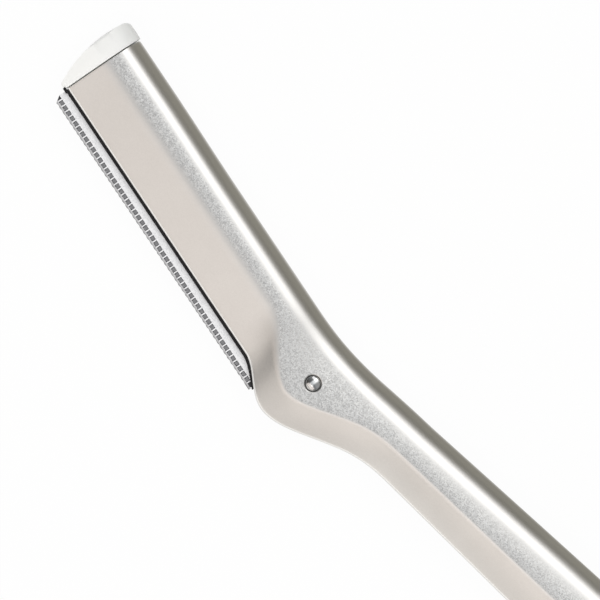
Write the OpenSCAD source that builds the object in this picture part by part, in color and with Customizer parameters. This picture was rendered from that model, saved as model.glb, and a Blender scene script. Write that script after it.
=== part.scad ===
// Eyebrow razor: two moulded half shells riveted at the elbow, a black channel
// between them in the head, and a guarded blade that slides out at the tip.
// The razor lies on its flat side. X runs along the head from the tip to the handle,
// Y towards the back and Z up. The origin is under the middle of the whole razor.

/* [Head] */
// Distance from the rivet to the rear end of the blade
blade_start = 4; // [3.8:0.1:4.4]
// Distance from the rivet to the back of the head
head_back = 6.1; // [5.7:0.1:6.8]
// Distance from the rivet to the lips of the blade slot
lip_drop = 5.2; // [4.9:0.1:5.6]
// Swell of the head's back towards the tip
tip_swell = 0.14; // [0:0.02:0.3]
// Thickness across the two lips of the blade slot
lip_t = 3.2; // [2.9:0.1:3.8]
// Place of the crease in the head, from the rivet towards the back
head_crease = 0.95; // [0.5:0.05:1.2]

/* [Elbow] */
// Angle between the head and the handle
bend_angle = 12.75; // [8:0.25:16]
// Run of the bend on each side of the rivet
bend_run = 7.5; // [6:0.5:9]
// Distance from the rivet to the lowest point of the heel
heel_drop = 7.9; // [7.7:0.1:8.6]
// Start of the heel's swell, along the razor from the rivet
heel_from = -8.2; // [-9:0.1:-7.6]
// End of the heel's swell, along the razor from the rivet
heel_to = -1.5; // [-2:0.1:-1]
// Start of the climb from the heel to the neck
neck_from = -1.4; // [-1.8:0.1:-1]
// End of the climb from the heel to the neck
neck_to = 15.4; // [13:0.2:18]
// Distance that the crease dips to under the rivet
crease_dip = 3.95; // [3.6:0.05:4.2]

/* [Handle] */
// Length of the handle from the rivet to the tail
handle_len = 97; // [80:1:110]
// Distance from the rivet's line to the back of the handle
handle_back = 6.55; // [5.9:0.05:6.8]
// Distance from the rivet's line to the lower edge of the neck
handle_low = 2.8; // [2.5:0.1:3.2]
// Place of the crease in the handle, from the rivet's line towards the back
handle_crease = 1; // [0.6:0.05:1.3]
// Growth of the handle's back side between the neck and the tail
back_growth = 1.3; // [0.4:0.1:1.6]
// Growth of the handle's edge side between the neck and the tail
low_growth = 1; // [0.4:0.1:1.4]
// Length of the rounding at the tail
tail_round = 6; // [4:0.5:8]

/* [Shells] */
// Thickness of the razor between its two flat sides
body_t = 7; // [6.4:0.1:8]
// Depth of the back's rounding
back_round = 3.9; // [3.5:0.1:4.1]
// Wall of each half shell
wall = 0.9; // [0.7:0.05:1]
// Radius along the lower edges and lips
edge_r = 0.32; // [0.2:0.02:0.4]

/* [Rivet and pins] */
// Radius of the rivet's heads
rivet_head_r = 1.06; // [0.9:0.02:1.3]
// Radius of the rivet's shank
rivet_r = 0.7; // [0.5:0.05:0.8]
// Height that the dome stands proud of the flat side
dome_proud = 0.1; // [0:0.05:0.4]
// Radius of the locating pins in the handle
pin_r = 0.6; // [0.4:0.05:0.8]

/* [Blade] */
// Length of the blade
blade_len = 46.3; // [40:0.1:52]
// Thickness of the blade
blade_t = 0.28; // [0.2:0.02:0.34]
// Distance from the rivet's line to the guard's outer rim
rim_drop = 7.45; // [7.4:0.05:7.9]
// Pitch of the guard's windows
window_pitch = 0.83; // [0.7:0.01:1.2]
// Width of each window along the blade
window_w = 0.46; // [0.3:0.02:0.6]
// Height of each window across the guard
window_h = 0.52; // [0.3:0.02:0.6]
// Thickness of the guard's foil
foil_t = 0.1; // [0.06:0.01:0.14]

/* [Tip cap] */
// Height of the cap beyond the seam
cap_h = 3.15; // [2:0.05:4]
// Radius of the cap's outer curve
cap_r = 19.5; // [15:0.5:24]
// Distance from the rivet's line to the middle of the cap's outer curve
cap_mid = 3.3; // [2:0.1:4]
// Radius of the cap's corner at the back
cap_corner = 1.3; // [0.6:0.1:1.6]
// Height that the cap's back stands proud of the head's back
cap_proud = 0.22; // [0:0.02:0.4]

/* [Hidden] */
$fn = 48;

// Cuts run past what they cut by this much
over = 1;
// Clearance between pieces of the holder
seat = 0.05;
// Clearance on each side of the sliding blade unit
slide_gap = 0.07;

half_t = body_t / 2;
half_lip = lip_t / 2;

// The head is as long as the blade in it, and the slot ends a little behind the blade
blade_inset = 0.1;
head_len = blade_start + blade_len + blade_inset;
slot_margin = 0.3;
slot_end_x = slot_margin - blade_start;

// Softness of the crease in the head and in the handle
head_soft = 1.1;
handle_soft = 0.4;
// Where the crease leaves the head, reaches its dip, and climbs to the handle
crease_dip_from = -12;
crease_dip_to = -1;
crease_climb_from = -1.6;
crease_climb_to = 14;
// Where the back rises from the head to the handle, and where the head's swell fades
back_from = -4;
swell_from = -42;
swell_to = -27;
// Share by which the climbs behind the heel start steeper than they end
lean_share = 0.45;
// Half thickness of the lower edge in the handle
handle_edge = 1.5;

// Steps in which the skin is drawn: along the head, the elbow, the handle and the tail,
// round the back, over the crease and round the edge
head_steps = 6;
elbow_steps = 30;
handle_steps = 6;
tail_steps = 6;
back_steps = 12;
crease_steps = 4;
edge_steps = 3;
// Share of the tail's rounding that is drawn before its blunt end
tail_share = 0.985;

function mix(a, b, k) = a + (b - a) * k;
function unit(t) = max(0, min(1, t));
function ease(t) = let (c = unit(t)) c * c * (3 - 2 * c);
function rise(u, from, to) = ease((u - from) / (to - from));
function climb(u, from, to) =
    let (t = unit((u - from) / (to - from))) ease(t * (1 + lean_share * (1 - t)));

// The razor's axis: straight along the head, an arc about the elbow, then the handle
bend_r = bend_run / tan(bend_angle / 2);
half_arc = bend_r * bend_angle / 2 * PI / 180;
function turn(u) = bend_angle * unit((u / half_arc + 1) / 2);
function axis_point(u) =
    u < -half_arc ? [u + half_arc - bend_run, 0] :
    u > half_arc ? (bend_run + u - half_arc) * [cos(bend_angle), sin(bend_angle)] :
    [bend_r * sin(turn(u)) - bend_run, bend_r * (1 - cos(turn(u)))];
function placed_point(u, y) = axis_point(u) + y * [-sin(turn(u)), cos(turn(u))];
function along(x) = x - half_arc + bend_run;

// Back, lower edge, crease and edge thickness at a place along the axis
function grown(u) = sin(90 * unit((u - neck_to) / (handle_len - neck_to)));
function back_at(u) =
    mix(head_back, handle_back, rise(u, back_from, crease_climb_to)) + back_growth * grown(u)
    + tip_swell * (1 - rise(u, swell_from, swell_to));
function low_at(u) =
    -mix(mix(lip_drop, heel_drop, rise(u, heel_from, heel_to)),
         handle_low + low_growth * grown(u), climb(u, neck_from, neck_to));
function crease_at(u) =
    mix(mix(head_crease, -crease_dip, rise(u, crease_dip_from, crease_dip_to)),
        handle_crease, climb(u, crease_climb_from, crease_climb_to));
function soft_at(u) = mix(head_soft, handle_soft, rise(u, crease_dip_from, crease_dip_to));
function edge_at(u) = mix(half_lip, handle_edge, rise(u, neck_from, neck_to));

// Half a section, from the back over the flat side and down to the lower edge, drawn in
// by inset: points are [across, up]
function bend_point(a, b, c, k) = mix(mix(a, b, k), mix(b, c, k), k);
function half_section(u, inset, proud = 0) =
    let (
        top = half_t - inset,
        edge = edge_at(u) - inset,
        back = back_at(u) + proud - inset,
        low = low_at(u) + inset,
        round_y = back_round - inset,
        crease = crease_at(u),
        soft = soft_at(u),
        r = min(edge_r, edge / 2),
        slope = (top - edge) / (crease - low),
        before = [crease + soft, top],
        after = [crease - soft, top - soft * slope]
    )
    concat(
        [for (i = [0:back_steps]) let (a = 90 * i / back_steps)
            [back - round_y * (1 - cos(a)), top * sin(a)]],
        [for (i = [0:crease_steps]) bend_point(before, [crease, top], after, i / crease_steps)],
        [for (i = [0:edge_steps]) let (a = 90 * i / edge_steps)
            [low + r * (1 - sin(a)), edge - r * (1 - cos(a)) + r * (1 - sin(a)) * slope]]
    );

// The tail shrinks a section about its middle
function tail_at(u, end) = unit((u - end + tail_round) / tail_round);
function shrunk(points, mid, k) =
    let (side = sqrt(1 - k * k), up = pow(1 - pow(k, 3), 1 / 2))
    [for (p = points) [mid + (p[0] - mid) * side, p[1] * up]];
function ring(u, inset, end) =
    let (
        mid = (back_at(u) + low_at(u)) / 2,
        s = shrunk(half_section(u, inset), mid, tail_at(u, end))
    )
    [for (p = concat(s, [[s[len(s) - 1][0], 0]])) concat(placed_point(u, p[0]), p[1])];

seam_u = along(-head_len);
function stations(end) = concat(
    [for (i = [0:head_steps]) mix(seam_u, crease_dip_from, i / (head_steps + 1))],
    [for (i = [0:elbow_steps]) mix(crease_dip_from, crease_climb_to, i / elbow_steps)],
    [for (i = [1:handle_steps]) mix(crease_climb_to, end - tail_round, i / handle_steps)],
    [for (i = [1:tail_steps]) end - tail_round * (1 - tail_share * sin(90 * i / tail_steps))]
);
function skin_rings(inset) =
    let (end = handle_len - inset) [for (u = stations(end)) ring(u, inset, end)];

// A wall between two open skins, closed along the middle plane and at both ends
function quad(a, b, c, d) = [[a, b, c], [a, c, d]];
module walled_skin(outer, inner) {
    n = len(outer[0]);
    m = len(outer);
    last = n - 1;
    in = n * m;
    end = n * (m - 1);
    spans = [for (i = [0:m - 2]) i * n];
    sides = [for (a = spans, j = [0:n - 2]) let (b = a + n)
        each concat(quad(a + j + 1, a + j, b + j, b + j + 1),
                    quad(in + a + j, in + a + j + 1, in + b + j + 1, in + b + j))];
    rims = [for (a = spans) let (b = a + n)
        each concat(quad(a, in + a, in + b, b),
                    quad(in + a + last, a + last, b + last, in + b + last))];
    start = [for (j = [0:n - 2]) each quad(j, j + 1, in + j + 1, in + j)];
    finish = concat([[for (j = [last:-1:0]) end + j]], [[for (j = [0:last]) in + end + j]],
                    quad(in + end, in + end + last, end + last, end));
    polyhedron(points = [for (r = concat(outer, inner)) each r],
               faces = concat(sides, rims, start, finish));
}

// The whole razor is placed by its bounding box
outer_points = [for (r = skin_rings(0)) each r];
cap_tip_x = -head_len - cap_h;
mid_x = (cap_tip_x + max([for (p = outer_points) p[0]])) / 2;
mid_y = (min([for (p = outer_points) p[1]]) + max([for (p = outer_points) p[1]])) / 2;
module place() {
    translate([-mid_x, -mid_y, half_t]) children();
}

// Sections of the head as flat shapes, for pieces that run straight along it
function mirrored(points) =
    concat(points, [for (i = [len(points) - 1:-1:0]) [points[i][0], -points[i][1]]]);
module along_head(from, to) {
    translate([from, 0, 0]) rotate([90, 0, 90]) linear_extrude(to - from) children();
}

// Rivet: heads sit in round recesses in the flat sides
rivet_seat = 0.08;
recess_r = rivet_head_r + rivet_seat;
recess_chamfer = 0.14;
recess_depth = 0.45;
recess_floor = half_t - recess_depth;
far_head_t = 0.35;
dome_h = recess_depth + dome_proud;
dome_ball_r = (rivet_head_r * rivet_head_r + dome_h * dome_h) / (2 * dome_h);

// Blade slot between the lips
slot_half = 0.98;
slot_roof = -2.6;

// Locating pins: places along the handle, as shares of its length
pin_shares = [0.26, 0.55, 0.86];
boss_wall = 0.6;
pin_depth = 2.1;
pin_fit = 0.02;
function pin_place(share) =
    let (u = share * handle_len) placed_point(u, (back_at(u) - back_round + crease_at(u)) / 2);

module pin_bosses() {
    for (share = pin_shares)
        translate(pin_place(share)) cylinder(r = pin_r + boss_wall, h = half_t - wall / 2);
}

module pin_holes() {
    for (share = pin_shares)
        translate(concat(pin_place(share), -over))
            cylinder(r = pin_r + pin_fit, h = pin_depth + pin_fit + over);
}

// One half shell above the middle plane
module half_shell() {
    difference() {
        union() {
            walled_skin(skin_rings(0), skin_rings(wall));
            pin_bosses();
        }
        pin_holes();
        translate([0, 0, -over]) cylinder(r = rivet_r + pin_fit, h = body_t);
        translate([0, 0, recess_floor]) cylinder(r = recess_r, h = body_t);
        translate([0, 0, half_t - recess_chamfer])
            cylinder(r1 = recess_r, r2 = recess_r + recess_chamfer * 2, h = recess_chamfer * 2);
        translate([-head_len - over, -heel_drop - over, -over])
            cube([head_len + over + slot_end_x, heel_drop + over + slot_roof, slot_half + over]);
    }
}

module near_shell() {
    color([0.80, 0.78, 0.75]) place() half_shell();
}

module far_shell() {
    color([0.74, 0.72, 0.69]) place() mirror([0, 0, 1]) half_shell();
}

// Black channel between the shells: shows as a narrow band under the lips
channel_show = 0.42;
channel_heel_show = 0.12;
band_low = -lip_drop - channel_show;
channel_half = slot_half - seat / 2;
channel_top = 1.2;
channel_slot_half = 0.62;
channel_slot_roof = 0;
channel_end_x = slot_end_x - seat;
tang_r = 1.9;
// The toe at the tip fills a notch in the cap's low corner
toe_out = 0.4;
toe_h = 0.3;
toe_drop = 0.15;
lip_steps = 14;

module channel_outline() {
    lip = [for (i = [0:lip_steps])
        let (u = mix(heel_from, along(channel_end_x), i / lip_steps))
        placed_point(u, low_at(u) - mix(channel_show, channel_heel_show, rise(u, heel_from, 0)))];
    front_x = -head_len + seat;
    polygon(concat(
        [[front_x, channel_top], [front_x, band_low]],
        lip,
        [[channel_end_x, channel_top]]
    ));
    translate([-head_len - toe_out + seat, band_low - toe_drop])
        square([toe_out * 2, toe_h + toe_drop - seat]);
    translate([channel_end_x - over, -tang_r]) square([over - channel_end_x, channel_top + tang_r]);
    circle(tang_r);
}

// The channel's section fills the head's hollow, with the blade's slot left open
module channel_section() {
    inner = half_section(seam_u, wall + seat);
    difference() {
        union() {
            polygon(mirrored(inner));
            translate([-heel_drop - over, -channel_half])
                square([heel_drop + over + slot_roof - seat, channel_half * 2]);
        }
        translate([-heel_drop - over * 2, -channel_slot_half])
            square([heel_drop + over * 2 + channel_slot_roof, channel_slot_half * 2]);
    }
}

module blade_channel() {
    color([0.05, 0.05, 0.05]) place() difference() {
        union() {
            intersection() {
                translate([0, 0, -half_t]) linear_extrude(body_t) channel_outline();
                along_head(-head_len - over, channel_end_x) channel_section();
            }
            intersection() {
                translate([0, 0, -half_t]) linear_extrude(body_t) channel_outline();
                translate([channel_end_x - seat, -tang_r, -slot_half])
                    cube([head_len, tang_r * 2, slot_half * 2]);
            }
            translate([0, 0, -half_t + wall + seat]) cylinder(r = tang_r, h = body_t - (wall + seat) * 2);
        }
        translate([0, 0, -half_t]) cylinder(r = rivet_r + seat, h = body_t);
        translate([spring_x - spring_half, -over, -spring_w / 2 - seat])
            cube([spring_half * 2, over + spring_pocket, spring_w + seat * 2]);
    }
}

// Blade unit: the blade starts a little inside the cap's seam, the backing strip lies at its
// top edge, and the guard's foil covers its lower part
blade_x = -blade_start - blade_len;
back_top = -0.1;
back_h = 3.2;
back_half = channel_slot_half - slide_gap;
back_inset = 0.3;
blade_top = -0.9;
rim_w = 0.24;
edge_gap = 0.08;
edge_y = -rim_drop + rim_w + edge_gap;
bevel_h = 1.1;
corner_w = 0.6;
corner_h = 0.85;
guard_top = back_top - back_h;
peg_r = 0.5;
peg_y = -2.1;
peg_shares = [0.12, 0.5, 0.88];

// Bowed leaf above the blade unit: its crown rubs on the blade's back
spring_x = -27;
spring_half = 6.5;
spring_w = 0.9;
spring_t = 0.14;
spring_pocket = 0.62;
spring_sag = spring_pocket - back_top - seat - spring_t;
spring_r = (spring_half * spring_half + spring_sag * spring_sag) / (2 * spring_sag);

module grip_spring() {
    color([0.62, 0.64, 0.67]) place() translate([spring_x, 0, -spring_w / 2])
        linear_extrude(spring_w) intersection() {
            translate([0, back_top + seat / 2 + spring_r]) difference() {
                circle(spring_r, $fn = 360);
                circle(spring_r - spring_t, $fn = 360);
            }
            translate([-spring_half + seat, back_top])
                square([(spring_half - seat) * 2, spring_pocket - back_top]);
        }
}

// The cap seen from its side: a wide curve at the tip, with rounded corners. It runs on past
// the seam, where the section ends it.
cap_crown = 0.5;
crown_steps = 4;
module cap_side() {
    offset(r = cap_corner) offset(delta = -cap_corner) intersection() {
        translate([cap_tip_x + cap_r, cap_mid]) circle(cap_r, $fn = 240);
        translate([cap_tip_x - over, band_low - cap_corner])
            square([cap_r, head_back + tip_swell + cap_proud + cap_corner - band_low]);
    }
}

// The same as a body whose outer edges are crowned
module cap_body() {
    hull() for (i = [0:crown_steps]) let (a = 90 * i / crown_steps)
        linear_extrude((half_t - cap_crown * (1 - cos(a))) * 2, center = true)
            offset(delta = -cap_crown * (1 - sin(a))) cap_side();
}

// Cap that closes the head's end. Its tenon plugs into the shells above the channel, and
// the blade unit slides out through its slit.
tenon_len = 4;
module tip_cap() {
    color([0.94, 0.94, 0.92]) place() difference() {
        union() {
            intersection() {
                along_head(cap_tip_x - over, -head_len - seat) {
                    polygon(mirrored(half_section(seam_u, 0, cap_proud)));
                    translate([band_low, -half_lip]) square([lip_drop, lip_t]);
                }
                cap_body();
            }
            along_head(-head_len - seat, -head_len + tenon_len) intersection() {
                polygon(mirrored(half_section(seam_u, wall + seat)));
                translate([channel_top + seat, -half_t]) square([head_back, body_t]);
            }
        }
        translate([cap_tip_x - over, -heel_drop - over, -channel_slot_half])
            cube([cap_h + tenon_len + over * 2, heel_drop + over + channel_slot_roof,
                  channel_slot_half * 2]);
        translate([-head_len - toe_out, -heel_drop - over, -half_t])
            cube([over, heel_drop + over + band_low + toe_h, body_t]);
    }
}

module elbow_rivet() {
    color([0.85, 0.86, 0.88]) place() {
        rotate_extrude() {
            translate([0, -recess_floor - far_head_t]) square([rivet_head_r, far_head_t]);
            translate([0, -recess_floor]) square([rivet_r, recess_floor * 2]);
            intersection() {
                translate([0, half_t + dome_proud - dome_ball_r]) circle(dome_ball_r, $fn = 96);
                translate([0, recess_floor]) square([rivet_head_r, dome_h]);
            }
        }
    }
}

module locating_pins() {
    color([0.7, 0.71, 0.73]) place() for (share = pin_shares)
        translate(concat(pin_place(share), -pin_depth)) cylinder(r = pin_r, h = pin_depth * 2);
}

// Side view of the blade, with its corner cut at the tip
module blade_outline(low, top, from, to) {
    polygon([[from + corner_w, low], [to, low], [to, top], [from, top], [from, low + corner_h]]);
}

module pegs(r) {
    for (share = peg_shares)
        translate([blade_x + share * blade_len, peg_y]) circle(r);
}

module blade() {
    color([0.78, 0.79, 0.81]) place() intersection() {
        translate([0, 0, -over]) linear_extrude(over * 2) difference() {
            blade_outline(-rim_drop, blade_top, blade_x, blade_x + blade_len);
            pegs(peg_r);
        }
        along_head(blade_x - over, over) polygon([
            [edge_y, 0], [edge_y + bevel_h, blade_t / 2], [blade_top, blade_t / 2],
            [blade_top, -blade_t / 2], [edge_y + bevel_h, -blade_t / 2]
        ]);
    }
}

module blade_back() {
    color([0.12, 0.12, 0.13]) place() {
        difference() {
            translate([0, 0, -back_half]) linear_extrude(back_half * 2)
                translate([blade_x + back_inset, guard_top])
                    square([blade_len - back_inset * 2, back_h]);
            translate([blade_x - over, guard_top - over, -blade_t / 2])
                cube([blade_len + over * 2, blade_top - guard_top + over, blade_t]);
        }
        translate([0, 0, -blade_t / 2]) linear_extrude(blade_t) pegs(peg_r - pin_fit);
    }
}

// Foil folded over the edge, with a window before each length of bare edge
module micro_guard() {
    top = guard_top - seat;
    low = -rim_drop;
    windows = floor((blade_len - corner_w * 2) / window_pitch);
    color([0.86, 0.87, 0.88]) place() intersection() {
        translate([0, 0, -over]) linear_extrude(over * 2) difference() {
            blade_outline(low, top, blade_x, blade_x + blade_len);
            for (i = [0:windows - 1])
                translate([blade_x + corner_w + window_pitch * (i + 0.5), low + rim_w + window_h / 2])
                    square([window_w, window_h], center = true);
        }
        along_head(blade_x - over, over) difference() {
            polygon([
                [low, foil_t], [edge_y + bevel_h, blade_t / 2 + foil_t], [top, blade_t / 2 + foil_t],
                [top, -blade_t / 2 - foil_t], [edge_y + bevel_h, -blade_t / 2 - foil_t], [low, -foil_t]
            ]);
            polygon([
                [low + rim_w, 0], [edge_y + bevel_h, blade_t / 2], [top + over, blade_t / 2],
                [top + over, -blade_t / 2], [edge_y + bevel_h, -blade_t / 2]
            ]);
        }
    }
}

near_shell();
far_shell();
blade_channel();
tip_cap();
elbow_rivet();
grip_spring();
locating_pins();
blade();
blade_back();
micro_guard();
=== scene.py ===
"""Eyebrow razor: smooth metal shells, guard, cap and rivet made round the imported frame.

Lengths are millimetres from the rivet, with X along the head towards the handle, Y towards
the back and Z up from the middle plane. They become metres where a mesh is placed.
"""
from __future__ import annotations

import logging
import math
from dataclasses import dataclass
from enum import Enum
from typing import Sequence

import bmesh
import bpy
from bmesh.types import BMEdge, BMesh, BMFace, BMVert
from bpy.types import ID, Material, Node, NodeSocket, Object, ShaderNodeTree
from mathutils import Matrix, Vector

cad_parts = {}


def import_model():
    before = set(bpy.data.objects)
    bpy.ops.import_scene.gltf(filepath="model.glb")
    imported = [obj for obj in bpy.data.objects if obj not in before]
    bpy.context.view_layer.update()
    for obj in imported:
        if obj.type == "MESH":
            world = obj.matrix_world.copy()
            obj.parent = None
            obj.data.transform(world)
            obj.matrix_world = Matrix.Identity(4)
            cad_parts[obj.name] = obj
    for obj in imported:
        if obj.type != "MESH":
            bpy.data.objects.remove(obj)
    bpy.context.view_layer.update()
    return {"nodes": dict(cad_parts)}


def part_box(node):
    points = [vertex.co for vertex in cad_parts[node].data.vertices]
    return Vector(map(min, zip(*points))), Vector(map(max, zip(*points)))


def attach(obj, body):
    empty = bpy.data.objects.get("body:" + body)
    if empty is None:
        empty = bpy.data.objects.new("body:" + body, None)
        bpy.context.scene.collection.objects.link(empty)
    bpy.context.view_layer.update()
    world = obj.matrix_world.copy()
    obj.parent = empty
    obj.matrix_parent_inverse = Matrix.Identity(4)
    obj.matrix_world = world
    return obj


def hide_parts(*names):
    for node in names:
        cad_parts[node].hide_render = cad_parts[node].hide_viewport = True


MM = 0.001

# Steps across a section of the skin, rows along the razor, and steps in a full turn
BACK_STEPS, FLAT_STEPS, CREASE_STEPS, FACET_STEPS, EDGE_STEPS, WALL_STEPS = 26, 10, 10, 10, 6, 3
HEAD_ROWS, ELBOW_ROWS, HANDLE_ROWS, TAIL_ROWS = 20, 96, 48, 20
TURN_STEPS = 96

# Points closer than this are one, in a placed mesh in metres, and before that in millimetres
ONE_POINT = 1e-7
ONE_POINT_MM = 1e-4

# Edges that turn by less than this many degrees are shaded smooth
SMOOTH_UNDER = 32.0

# The level about which noise lies, and how much steeper a climb starts than a plain soft step
MIDDLE = 0.5
CLIMB_LEAD = 0.45

Color = tuple[float, float, float]
Point = tuple[float, float]
Span = tuple[float, float]

WHITE: Color = (1.0, 1.0, 1.0)
BLACK: Color = (0.0, 0.0, 0.0)

log = logging.getLogger("razor")


class Body(Enum):
    """The bodies that pieces ride on."""

    HOLDER = "holder"
    BLADE_UNIT = "blade_unit"


class Carve(Enum):
    """How a carving tool acts on a piece."""

    CUT = "DIFFERENCE"
    KEEP = "INTERSECT"


def mix(a: float, b: float, share: float) -> float:
    """Returns the value that lies the given share of the way from a to b."""
    return a + (b - a) * share


def unit(value: float) -> float:
    """Returns the value held between 0 and 1."""
    return max(0.0, min(1.0, value))


def rise(place: float, start: float, end: float) -> float:
    """Returns a soft step that is 0 up to start and 1 from end on."""
    share = unit((place - start) / (end - start))
    return share * share * (3 - 2 * share)


def climb(place: float, start: float, end: float) -> float:
    """Returns a soft step that starts steeper than it ends."""
    share = unit((place - start) / (end - start))
    return rise(share * (1 + CLIMB_LEAD * (1 - share)), 0.0, 1.0)


def spread(start: float, end: float, steps: int) -> list[float]:
    """Returns steps + 1 evenly spaced values from start to end."""
    return [mix(start, end, i / steps) for i in range(steps + 1)]


def quarter(steps: int) -> list[float]:
    """Returns the angles of a quarter turn, in radians, in that many steps."""
    return spread(0.0, math.pi / 2, steps)


def rounding(radius: float, steps: int) -> list[Point]:
    """Draws a rounded edge.

    Args:
        radius: Radius of the rounding.
        steps: Steps in its quarter turn.

    Returns:
        Its distances from the two faces that it joins, from (0, radius) to (radius, 0).
    """
    return [(radius * (1 - math.cos(a)), radius * (1 - math.sin(a))) for a in quarter(steps)]


def arc_about(centre: Point, radius: float, angles: Sequence[float]) -> list[Point]:
    """Returns the points of an arc about a centre, at the given angles in radians."""
    return [(centre[0] + radius * math.cos(a), centre[1] + radius * math.sin(a)) for a in angles]


@dataclass(frozen=True)
class Crown:
    """The crowned side of a section, and the arc round the back that it runs into."""

    top: float
    lean: float
    start: float
    meet: float
    back: float
    depth: float
    height: float
    end: float

    def arc(self, angle: float) -> Point:
        """Returns the point of the back's arc at an angle from its outermost point."""
        return self.back - self.depth * (1 - math.cos(angle)), self.height * math.sin(angle)

    def slope_at(self, y: float) -> float:
        """Returns how steeply the side falls towards the back at y."""
        return self.lean * max(0.0, y - self.start) / (self.meet - self.start)

    def height_at(self, y: float) -> float:
        """Returns the height of the side at y."""
        return self.top - self.slope_at(y) * max(0.0, y - self.start) / 2


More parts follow.
